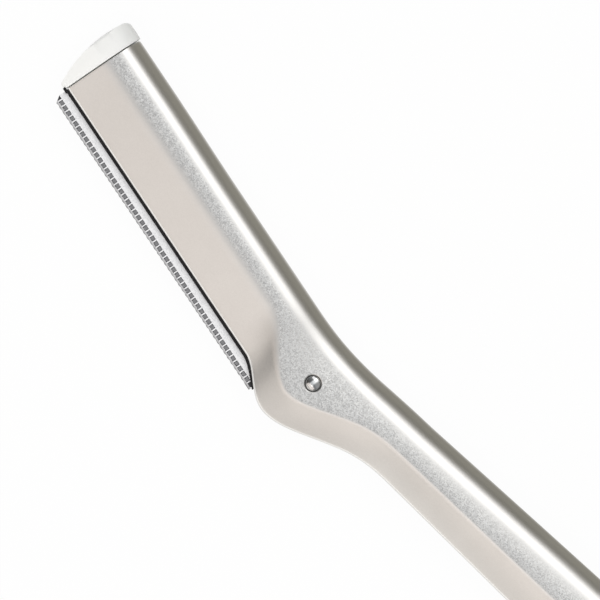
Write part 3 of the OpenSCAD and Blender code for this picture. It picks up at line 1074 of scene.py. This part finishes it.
@dataclass
class ShellPair:
    """The near and far half shells, riveted at the elbow, with the blade's slot between."""

    form: RazorForm
    finish: Finish
    wall: float = 0.9
    slot_half: float = 0.98
    slot_end: float = -3.7
    slot_roof: float = -2.6
    rim_r: float = 0.14
    rim_steps: int = 6
    seam_round: float = 0.05
    seam_steps: int = 5
    corner_round: float = 0.26
    corner_side: Span = (4.6, 6.2)
    settled_share: float = 1.2
    over: float = 1.0

    def skin(self, bm: BMesh, inset: float) -> None:
        """Adds an open skin: a grid whose rows are rings along the razor.

        Args:
            bm: The mesh in progress.
            inset: Distance that the skin is drawn in by.
        """
        form = self.form
        end = form.handle_len - inset
        rings = self.seam_rings(inset, end)
        rings += [form.ring(u, inset, end) for u in form.stations(end)[1:]]
        for vert, row, column in add_grid(bm, len(rings) - 1, len(rings[0]) - 1):
            vert.co = rings[row][column]

    def seam_rings(self, inset: float, end: float) -> list[list[Vector]]:
        """Draws the skin at the cap's seam, where the outer edge is rounded, most at the back.

        Args:
            inset: Distance that the skin is drawn in by.
            end: Place along the axis where the skin's tail ends.

        Returns:
            The rings, up to where the rounding has ended.
        """
        form, reach = self.form, self.corner_round
        seam = form.along(-form.head_len)
        if inset:
            return [form.ring(seam, inset, end), form.ring(seam + reach, inset, end)]
        backness = [rise(y, *self.corner_side) for y, _ in form.section(seam, 0.0)]
        rings = []
        for back, out in rounding(1.0, self.seam_steps):
            edge, corner = (
                form.ring(seam + r * back, r * out, end) for r in (self.seam_round, reach)
            )
            rings.append([p.lerp(q, share) for p, q, share in zip(edge, corner, backness)])
        return rings + [form.ring(seam + reach * self.settled_share, 0.0, end)]

    def half(self, name: str) -> Object:
        """Makes the near half shell: a walled skin with its recess and slot cut.

        Args:
            name: The piece's name.

        Returns:
            The half shell.
        """
        bm = bmesh.new()
        self.skin(bm, 0.0)
        self.skin(bm, self.wall)
        bmesh.ops.remove_doubles(bm, verts=bm.verts, dist=ONE_POINT)
        rims = [e for e in bm.edges if e.is_boundary]
        bmesh.ops.bridge_loops(bm, edges=rims)
        bmesh.ops.recalc_face_normals(bm, faces=bm.faces)
        shell = new_piece(name, bm, self.finish)
        carve(shell, [self.recess_tool(), self.slot_tool()], Carve.CUT)
        shade(shell)
        return shell

    def recess_tool(self) -> Object:
        """Makes the tool for the rivet's hole and recess, with a softened rim.

        Returns:
            The tool, square to the side at the rivet.
        """
        form, radius = self.form, self.form.recess_r
        crown = form.crown(0.0, 0.0)
        floor = form.half_t - form.recess_depth - crown.height_at(0.0)
        profile = [(0.0, floor), (radius, floor)]
        profile += [(radius + out, -fall) for out, fall in rounding(self.rim_r, self.rim_steps)]
        profile += [(radius + self.rim_r, self.over), (0.0, self.over)]
        bm = bmesh.new()
        lathe(bm, profile)
        bm.transform(Matrix.Rotation(-math.atan(crown.slope_at(0.0)), 4, "X"))
        bm.transform(Matrix.Translation(form.place(0.0, 0.0, crown.height_at(0.0))))
        return new_piece("recess_tool", bm, self.finish)

    def slot_tool(self) -> Object:
        """Makes the tool for the blade's slot, which is half in each shell.

        Returns:
            The tool.
        """
        form = self.form
        low = form.place(-form.head_len - self.over, -form.heel_drop - self.over, -self.over)
        high = form.place(self.slot_end, self.slot_roof, self.slot_half)
        return block_tool("slot_tool", low, high, self.finish)

    def make(self) -> None:
        """Makes both half shells."""
        near = self.half("near_shell_skin")
        bm = bmesh.new()
        bm.from_mesh(near.data)
        flip = Matrix.Translation(self.form.rivet) @ Matrix.Diagonal((1, 1, -1, 1))
        bm.transform(flip @ Matrix.Translation(-self.form.rivet))
        bmesh.ops.reverse_faces(bm, faces=bm.faces)
        far = new_piece("far_shell_skin", bm, self.finish)
        register(near, Body.HOLDER, "near_shell")
        register(far, Body.HOLDER, "far_shell")


@dataclass
class TipCap:
    """The white cap on the head's end: the head's section, curved off at the tip."""

    form: RazorForm
    finish: Finish
    height: float = 3.15
    radius: float = 19.5
    middle: float = 3.3
    curve_steps: int = 96
    corner: float = 0.95
    corner_steps: int = 16
    low_corner: float = 0.52
    low_steps: int = 12
    least_corner: float = 0.02
    low_overlap: float = 0.01
    proud: float = 0.22
    crown: float = 0.5
    crown_steps: int = 8
    seam_gap: float = 0.12
    seam_round: float = 0.14
    seam_steps: int = 4
    lip_show: float = 0.42
    slit_half: float = 0.62
    toe_out: float = 0.4
    toe_h: float = 0.3
    over: float = 1.0
    smooth_under: float = 30.0

    @property
    def tip_x(self) -> float:
        """Returns the x of the cap's outermost point."""
        return -self.form.head_len - self.height

    def section(self, x: float, inset: float) -> list[Vector]:
        """Draws the head's whole section, with the cap's longer lower edge.

        Args:
            x: Place along the head that it is drawn at.
            inset: Distance that it is drawn in by.

        Returns:
            The closed outline in metres, in the frame.
        """
        form = self.form
        half = form.section(form.along(-form.head_len), inset, self.proud, self.lip_show)
        half = half[: len(half) - WALL_STEPS]
        outline = half + [(y, -z) for y, z in reversed(half)][:-1]
        return [form.place(x, y, z) for y, z in outline]

    def prism(self) -> BMesh:
        """Draws the section out past the tip, with its seam edge rounded.

        Returns:
            The mesh in progress.
        """
        seam = -self.form.head_len - self.seam_gap
        rows = [(seam - out, inset) for out, inset in rounding(self.seam_round, self.seam_steps)]
        rows.append((self.tip_x - self.over, 0.0))
        return stacked([self.section(x, inset) for x, inset in rows])

    def side_view(self, z: float, inset: float) -> list[Vector]:
        """Draws the cap as seen from its side: a wide curve with a corner at each end.

        Args:
            z: Height that it is drawn at.
            inset: Distance that it is drawn in by.

        Returns:
            Its outline, which runs on past the seam.
        """
        form = self.form
        centre = (self.radius + self.tip_x, self.middle)
        back = form.back_at(form.along(-form.head_len)) + self.proud
        low = self.low_corner - form.lip_drop - self.lip_show - self.low_overlap
        top_centre, top_turn = self.corner_centre(centre, self.corner, back - self.corner)
        low_centre, low_turn = self.corner_centre(centre, self.low_corner, low)
        low_turn += math.tau
        least = max(self.low_corner - inset, self.least_corner)
        curve = arc_about(low_centre, least, spread(1.5 * math.pi, low_turn, self.low_steps))
        wide = spread(low_turn, top_turn, self.curve_steps)[1:]
        curve += arc_about(centre, self.radius - inset, wide)
        tight = spread(top_turn, math.pi / 2, self.corner_steps)[1:]
        curve += arc_about(top_centre, self.corner - inset, tight)
        curve += [(-form.head_len + self.over, back - inset)]
        curve += [(-form.head_len + self.over, curve[0][1])]
        return [form.place(x, y, z) for x, y in curve]

    def corner_centre(self, centre: Point, corner: float, y: float) -> tuple[Point, float]:
        """Fits a corner's circle inside the cap's wide curve.

        Args:
            centre: The wide curve's centre.
            corner: The corner's radius.
            y: The y of the corner's centre.

        Returns:
            The corner's centre, and the angle at which corner and wide curve meet.
        """
        reach = self.radius - corner
        x = centre[0] - math.sqrt(reach**2 - (y - centre[1]) ** 2)
        return (x, y), math.atan2(y - centre[1], x - centre[0])

    def side_tool(self) -> Object:
        """Makes the crowned body whose outline gives the cap its curve.

        Returns:
            The tool.
        """
        half_t = self.form.half_t
        rows = [(half_t - fall, inset) for fall, inset in rounding(self.crown, self.crown_steps)]
        rows += [(-z, inset) for z, inset in reversed(rows)]
        bm = stacked([self.side_view(z, inset) for z, inset in rows])
        return new_piece("cap_side_tool", bm, self.finish)

    def cut_tools(self) -> list[Object]:
        """Makes the tools for the blade unit's slit and for the notch that the toe fills.

        Returns:
            The tools.
        """
        form = self.form
        end, under = -form.head_len + self.over, -form.heel_drop - self.over
        roof = -form.lip_drop - self.lip_show + self.toe_h
        blocks = {
            "slit_tool": (
                (self.tip_x - self.over, under, -self.slit_half), (end, 0.0, self.slit_half)
            ),
            "cap_notch_tool": (
                (-form.head_len - self.toe_out, under, -form.half_t), (end, roof, form.half_t)
            ),
        }
        return [
            block_tool(name, form.place(*low), form.place(*high), self.finish)
            for name, (low, high) in blocks.items()
        ]

    def make(self) -> None:
        """Makes the cap."""
        cap = new_piece("white_tip_cap", self.prism(), self.finish)
        carve(cap, [self.side_tool()], Carve.KEEP)
        carve(cap, self.cut_tools(), Carve.CUT)
        shade(cap, self.smooth_under)
        register(cap, Body.HOLDER, "tip_cap")


@dataclass
class ElbowRivet:
    """The rivet: a chrome dome near the viewer, a shank and a flush far head."""

    form: RazorForm
    finish: Finish
    head_r: float = 1.0
    dome_slope: float = math.radians(36.0)
    dome_steps: int = 24
    shank_r: float = 0.7
    proud: float = 0.13
    far_head_t: float = 0.35
    edge_round: float = 0.08
    edge_steps: int = 5

    def profile(self) -> list[Point]:
        """Draws the rivet's half profile.

        Returns:
            Points as (radius, height), from the far head's middle to the dome's top.
        """
        floor = self.form.half_t - self.form.recess_depth
        ball_r = self.head_r / math.sin(self.dome_slope)
        top = self.form.crown(0.0, 0.0).height_at(0.0) + self.proud
        far = -floor - self.far_head_t
        edge = rounding(self.edge_round, self.edge_steps)
        dome = [
            (ball_r * math.sin(a), top - ball_r * (1 - math.cos(a)))
            for a in spread(self.dome_slope, 0.0, self.dome_steps)
        ]
        return [
            (0.0, far),
            *((self.head_r - inward, far + up) for up, inward in edge),
            (self.head_r, -floor),
            (self.shank_r, -floor),
            (self.shank_r, floor),
            (self.head_r, floor),
            *dome,
        ]

    def make(self) -> None:
        """Makes the rivet."""
        bm = bmesh.new()
        lathe(bm, self.profile())
        bmesh.ops.translate(bm, verts=bm.verts, vec=self.form.rivet)
        rivet = new_piece("chrome_rivet", bm, self.finish)
        register(rivet, Body.HOLDER, "elbow_rivet")


@dataclass
class GuardFoil:
    """The foil folded over the blade's edge, with its row of small windows."""

    form: RazorForm
    length: float = 46.3
    start: float = 4.0
    top: float = -3.35
    fold_y: float = -6.03
    fold_rows: int = 3
    rim: float = 7.5
    rim_w: float = 0.35
    rim_rows: int = 5
    rim_parts: int = 6
    half_top: float = 0.24
    half_rim: float = 0.1
    foil_t: float = 0.07
    pitch: float = 0.83
    window_w: float = 0.54
    window_h: float = 0.46
    corner_r: float = 0.13
    corner_steps: int = 3
    margin: float = 0.06
    corner_w: float = 0.6
    corner_h: float = 0.85
    wave: float = 0.035
    smooth_under: float = 40.0

    @property
    def tip_x(self) -> float:
        """Returns the x of the foil's tip end."""
        return -self.start - self.length

    @property
    def windows(self) -> int:
        """Returns how many windows fit along the foil."""
        return int((self.length - self.corner_w * 2) / self.pitch)

    @property
    def first_x(self) -> float:
        """Returns the x at which the first length with a window starts."""
        return self.tip_x + self.corner_w

    @property
    def window_y(self) -> float:
        """Returns the y of the windows' middles."""
        return self.rim_w + self.window_h / 2 - self.rim

    def depth(self, y: float) -> float:
        """Returns the half thickness over the foil at y, which falls towards the rim."""
        share = unit((self.fold_y - y) / (self.fold_y + self.rim - self.half_rim))
        return mix(self.half_top, self.half_rim, share)

    def cell(self, bm: BMesh, x: float, low: float, high: float) -> None:
        """Adds one flat length of foil round a window with rounded corners.

        Args:
            bm: The mesh in progress.
            x: Where the length starts along the blade.
            low: Its lower y.
            high: Its upper y.
        """
        step = self.pitch / self.rim_parts
        outer = [(x + i * step, low) for i in range(self.rim_parts + 1)]
        outer += [(x + self.pitch, high), (x, high)]
        half_w, half_h = self.window_w / 2 - self.corner_r, self.window_h / 2 - self.corner_r
        middle_x, middle_y = x + self.pitch / 2, self.window_y
        inner = []
        for start, (side_x, side_y) in enumerate(((1, 1), (-1, 1), (-1, -1), (1, -1))):
            centre = (middle_x + side_x * half_w, middle_y + side_y * half_h)
            turns = [a + start * math.pi / 2 for a in quarter(self.corner_steps)]
            inner += arc_about(centre, self.corner_r, turns)
        edges = []
        for loop in (outer, inner):
            edges += add_loop(bm, [Vector((*point, 0.0)) for point in loop])
        bmesh.ops.bridge_loops(bm, edges=edges)

    def strip(self, bm: BMesh, xs: Sequence[float], ys: Sequence[float]) -> None:
        """Adds a flat strip of foil.

        Args:
            bm: The mesh in progress.
            xs: Where its columns of points lie along the blade.
            ys: Where its rows of points lie across the foil.
        """
        for vert, i, j in add_grid(bm, len(xs) - 1, len(ys) - 1):
            vert.co = (xs[i], ys[j], 0.0)

    def fold(self, x: float, y: float) -> Vector:
        """Finds where a point of the flat foil lies once the foil is folded.

        Args:
            x: Place along the blade.
            y: Place across the flat foil, which runs on past the rim's start.

        Returns:
            The point, in millimetres from the rivet.
        """
        rim_y = self.half_rim - self.rim
        if y >= rim_y:
            return Vector((x, y, self.depth(y)))
        turn = (rim_y - y) / self.half_rim
        wave = self.wave * math.sin(turn) * math.cos(math.tau * (x - self.first_x) / self.pitch)
        folded_y = rim_y - self.half_rim * math.sin(turn) - wave
        return Vector((x, folded_y, self.half_rim * math.cos(turn)))

    def flat_foil(self) -> BMesh:
        """Lays out the foil of one side before it is folded.

        Returns:
            The mesh in progress, in millimetres from the rivet.
        """
        bm = bmesh.new()
        low = -self.rim + self.rim_w - self.margin
        high = -self.rim + self.rim_w + self.window_h + self.margin
        rim_end = self.half_rim - self.rim - self.half_rim * math.pi / 2
        last_x = self.first_x + self.windows * self.pitch
        ends = [self.tip_x, self.first_x], [last_x, self.tip_x + self.length]
        pitches = spread(self.first_x, last_x, self.windows)
        fine = spread(self.first_x, last_x, self.windows * self.rim_parts)
        upper = [high, self.fold_y, *spread(self.fold_y, self.top, self.fold_rows)[1:]]
        lower = spread(rim_end, self.half_rim - self.rim, self.rim_rows) + [low]
        for i in range(self.windows):
            self.cell(bm, self.first_x + i * self.pitch, low, high)
        self.strip(bm, pitches, upper)
        self.strip(bm, fine, lower)
        for xs in ends:
            for ys in (upper, lower, [low, high]):
                self.strip(bm, xs, ys)
        bmesh.ops.remove_doubles(bm, verts=bm.verts, dist=ONE_POINT_MM)
        return bm

    def make(self, finish: Finish) -> None:
        """Makes the guard: folded, cut at its tip corner, mirrored and thickened.

        Args:
            finish: What it is finished in.
        """
        bm = self.flat_foil()
        for vert in bm.verts:
            vert.co = self.fold(vert.co.x, vert.co.y)
        slant = Vector((self.corner_h, self.corner_w, 0.0)).normalized()
        corner = Vector((self.tip_x, self.corner_h - self.rim, 0.0))
        bmesh.ops.bisect_plane(
            bm, geom=whole(bm), plane_co=corner, plane_no=slant, clear_inner=True
        )
        bmesh.ops.recalc_face_normals(bm, faces=bm.faces)
        bmesh.ops.mirror(
            bm, geom=whole(bm), axis="Z", merge_dist=ONE_POINT_MM, matrix=Matrix.Identity(4)
        )
        bmesh.ops.recalc_face_normals(bm, faces=bm.faces)
        bmesh.ops.solidify(bm, geom=whole(bm), thickness=self.foil_t)
        bm.transform(Matrix.Translation(self.form.rivet) @ Matrix.Scale(MM, 4))
        bmesh.ops.recalc_face_normals(bm, faces=bm.faces)
        guard = new_piece("guard_foil_wrap", bm, finish, self.smooth_under)
        register(guard, Body.BLADE_UNIT, "micro_guard")


def dress_node(node: Object, finish: Finish) -> None:
    """Gives a CAD node its finish. Its mesh stays as it is.

    Args:
        node: The CAD node.
        finish: What it is finished in.
    """
    node.data.materials.clear()
    node.data.materials.append(finish.material())
    log.info("%s: finished in %s", node.name, finish.name)


@dataclass(frozen=True)
class Softbox:
    """A rectangular lamp along the razor, which faces it. Places are metres from the rivet."""

    name: str
    place: tuple[float, float, float]
    length: float
    width: float
    radiance: float
    color: Color = WHITE
    mirrored: bool = True

    def make(self, rivet: Vector) -> None:
        """Places the lamp and turns it towards the razor's line.

        Args:
            rivet: The rivet's place in the frame.
        """
        lamp = bpy.data.lights.new(self.name, "AREA")
        lamp.shape, lamp.size, lamp.size_y = "RECTANGLE", self.length, self.width
        lamp.energy = self.radiance * math.pi * self.length * self.width
        lamp.color = self.color
        box = linked(self.name, lamp)
        _, y, z = self.place
        away = Vector((0.0, y, z)).normalized()
        x_axis = Vector((1.0, 0.0, 0.0))
        turn = Matrix((x_axis, away.cross(x_axis), away)).transposed()
        box.matrix_world = Matrix.Translation(rivet + Vector(self.place)) @ turn.to_4x4()
        box.visible_camera = False
        box.visible_glossy = self.mirrored


@dataclass
class Studio:
    """The pale floor, the soft lamps, the surroundings and the camera.

    The floor's size and the camera's height and reach are metres. Each wall's angle is in
    degrees about the head, from straight up towards the razor's back. The sides and the rear
    are parts of a direction of length 1, along the head towards the handle and across it
    towards the back.
    """

    form: RazorForm
    floor_size: float = 6.0
    floor_parts: int = 8
    floor_drop: float = 0.02
    own_light: float = 0.95
    floor_color: Color = (0.88, 0.88, 0.88)
    # The floor's glow for mirrored rays: pale in front, and dim behind as painted shade
    floor_front: Color = (0.95, 0.95, 0.94)
    painted_back_shade: Color = (0.27, 0.26, 0.22)
    back_from: Span = (5.0, 12.0)
    roll: float = 33.85
    view_width: float = 79.1
    view_x: float = -10.09
    view_y: float = 4.72
    camera_height: float = 1.0
    camera_reach: Span = (0.05, 20.0)
    lens_sensor: float = 36.0
    boxes: tuple[Softbox, ...] = (
        Softbox("key_strip", (-0.345, 0.468, 0.52), 0.81, 0.36, 0.85),
        Softbox("fill_panel", (0.15, -0.216, 0.337), 0.49, 0.21, 0.56, (1.0, 0.91, 0.85)),
        Softbox("heel_panel", (-0.15, -0.245, 0.29), 0.09, 0.17, 0.52, (1.0, 0.91, 0.84)),
        Softbox("neck_panel", (0.16, -0.27, 0.26), 0.12, 0.1, 0.2, (1.0, 0.95, 0.9)),
        Softbox("crease_panel", (0.11, -0.12, 0.382), 0.14, 0.1, 0.5, (1.0, 0.98, 0.96)),
        Softbox("low_strip", (0.0, -0.693, 0.097), 1.2, 0.17, 0.85),
        Softbox("ceiling", (0.0, 0.0, 1.3), 1.6, 1.6, 1.25, mirrored=False),
    )
    walls: tuple[tuple[float, Color], ...] = (
        (-90.0, (0.62, 0.6, 0.57)),
        (-76.0, (0.9, 0.875, 0.84)),
        (-68.0, (1.0, 0.975, 0.935)),
        (-60.0, (0.96, 0.935, 0.9)),
        (-57.0, (0.69, 0.662, 0.63)),
        (-54.0, (0.53, 0.503, 0.476)),
        (-46.0, (0.5, 0.476, 0.45)),
        (-40.0, (0.4, 0.388, 0.374)),
        (-34.0, (0.37, 0.36, 0.35)),
        (-22.0, (0.51, 0.503, 0.495)),
        (-10.0, (0.63, 0.64, 0.65)),
        (0.0, (0.68, 0.7, 0.72)),
        (4.0, (0.79, 0.81, 0.83)),
        (8.0, (0.87, 0.89, 0.905)),
        (12.0, (0.93, 0.95, 0.96)),
        (17.0, (0.96, 0.975, 0.98)),
        (24.0, (0.99, 1.0, 1.0)),
        (50.0, (1.0, 1.0, 0.99)),
        (58.0, (0.68, 0.67, 0.65)),
        (65.0, (0.34, 0.33, 0.305)),
        (73.0, (0.225, 0.217, 0.188)),
        (90.0, (0.225, 0.218, 0.19)),
    )
    handle_side: Span = (0.06, 0.38)
    handle_rear: Span = (-0.45, -0.1)
    handle_dim: float = 0.1
    handle_rear_dim: float = 0.56
    tip_side: Span = (-0.24, -0.45)
    tip_dim: float = 0.8

    def floor(self) -> None:
        """Makes the pale floor, which the camera sees as white with the razor's shadow.

        Metal mirrors it as pale in front of the razor and as dim behind its back, which is
        painted shade in the metal's reflections.
        """
        bm = bmesh.new()
        parts = self.floor_parts
        bmesh.ops.create_grid(bm, x_segments=parts, y_segments=parts, size=self.floor_size / 2)
        bmesh.ops.translate(bm, verts=bm.verts, vec=(0.0, 0.0, -self.floor_drop * MM))
        mesh = bpy.data.meshes.new("floor")
        bm.to_mesh(mesh)
        bm.free()
        mesh.materials.append(self.floor_material())
        linked("floor", mesh)

    def floor_material(self) -> Material:
        """Builds the floor's material.

        Returns:
            A matt white, with a light of its own for camera and mirrored rays.
        """
        made = bpy.data.materials.new("floor_white")
        made.use_nodes = True
        graph = Graph(made.node_tree)
        rays = graph.add("ShaderNodeLightPath")
        seen = graph.out(rays, "Is Camera Ray")
        mirrored = graph.out(rays, "Is Glossy Ray").at_least(graph.out(rays, "Is Transmission Ray"))
        x, y, _ = graph.apart(graph.object_mm())
        # Behind the razor's back the glow for mirrored rays darkens: painted shade in reflections
        line = (x - self.form.rivet.x / MM).at_least(0.0) * math.tan(self.form.bend)
        behind = graph.step(y - self.form.rivet.y / MM - line, *self.back_from)
        tone = graph.blend(self.floor_front, self.painted_back_shade, behind)
        color = graph.blend(tone, WHITE, seen)
        glow = graph.out(graph.add("ShaderNodeEmission", {}, {"Color": color}))
        matt = graph.out(graph.add("ShaderNodeBsdfDiffuse", {}, {"Color": self.floor_color}))
        share = seen * self.own_light + mirrored * self.own_light
        both = graph.out(graph.add("ShaderNodeMixShader", {}, {0: share, 1: matt, 2: glow}))
        graph.add("ShaderNodeOutputMaterial", {}, {"Surface": both})
        return made

    def surroundings(self) -> None:
        """Sets the world: white to the camera, and a studio's soft walls to the razor."""
        world = bpy.data.worlds.new("studio")
        bpy.context.scene.world = world
        world.use_nodes = True
        graph = Graph(world.node_tree)
        side, back, up = graph.apart(graph.out(graph.add("ShaderNodeTexCoord"), "Generated"))
        turned = back.angle_from(up) * (1 / math.pi) + 0.5
        stops = [(angle / 180 + 0.5, color) for angle, color in self.walls]
        rear = graph.step(back, *self.handle_rear) * self.handle_rear_dim + self.handle_dim
        handle_dim = graph.step(side, *self.handle_side) * rear
        tip_dim = graph.step(side, *self.tip_side) * self.tip_dim
        walls = graph.blend(graph.ramp(turned, stops), BLACK, handle_dim.at_least(tip_dim))
        seen = graph.out(graph.add("ShaderNodeLightPath"), "Is Camera Ray")
        sockets = {"Color": graph.blend(walls, WHITE, seen), "Strength": 1.0}
        shell = graph.out(graph.add("ShaderNodeBackground", {}, sockets))
        graph.add("ShaderNodeOutputWorld", {}, {"Surface": shell})

    def camera(self) -> None:
        """Makes the camera, which looks straight down with the razor across the picture."""
        data = bpy.data.cameras.new("camera")
        data.sensor_width = self.lens_sensor
        data.lens = self.lens_sensor * self.camera_height / (self.view_width * MM)
        data.clip_start, data.clip_end = self.camera_reach
        camera = linked("camera", data)
        aim = self.form.place(self.view_x, self.view_y, self.form.half_t)
        camera.location = aim + Vector((0.0, 0.0, self.camera_height))
        camera.rotation_euler = (0.0, 0.0, math.radians(90.0 - self.roll))
        bpy.context.scene.camera = camera

    def make(self) -> None:
        """Sets up everything that isn't the razor."""
        bpy.context.scene.view_settings.view_transform = "Standard"
        self.camera()
        self.floor()
        self.surroundings()
        for box in self.boxes:
            box.make(self.form.rivet)


def main() -> None:
    """Builds the razor round the frame, and the studio round the razor."""
    logging.basicConfig(level=logging.INFO, format="%(message)s")
    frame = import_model()
    form = RazorForm.from_frame()
    guard = GuardFoil(form)
    finishes = Finishes.of(form, guard)
    Studio(form).make()
    ShellPair(form, finishes.shell).make()
    TipCap(form, finishes.cap).make()
    ElbowRivet(form, finishes.rivet).make()
    guard.make(finishes.guard)
    nodes = frame["nodes"]
    dress_node(nodes["blade_channel"], finishes.channel)
    dress_node(nodes["blade_back"], finishes.channel)
    dress_node(nodes["blade"], finishes.blade)
    dress_node(nodes["grip_spring"], finishes.spring)
    dress_node(nodes["locating_pins"], finishes.spring)


if __name__ == "__main__":
    main()
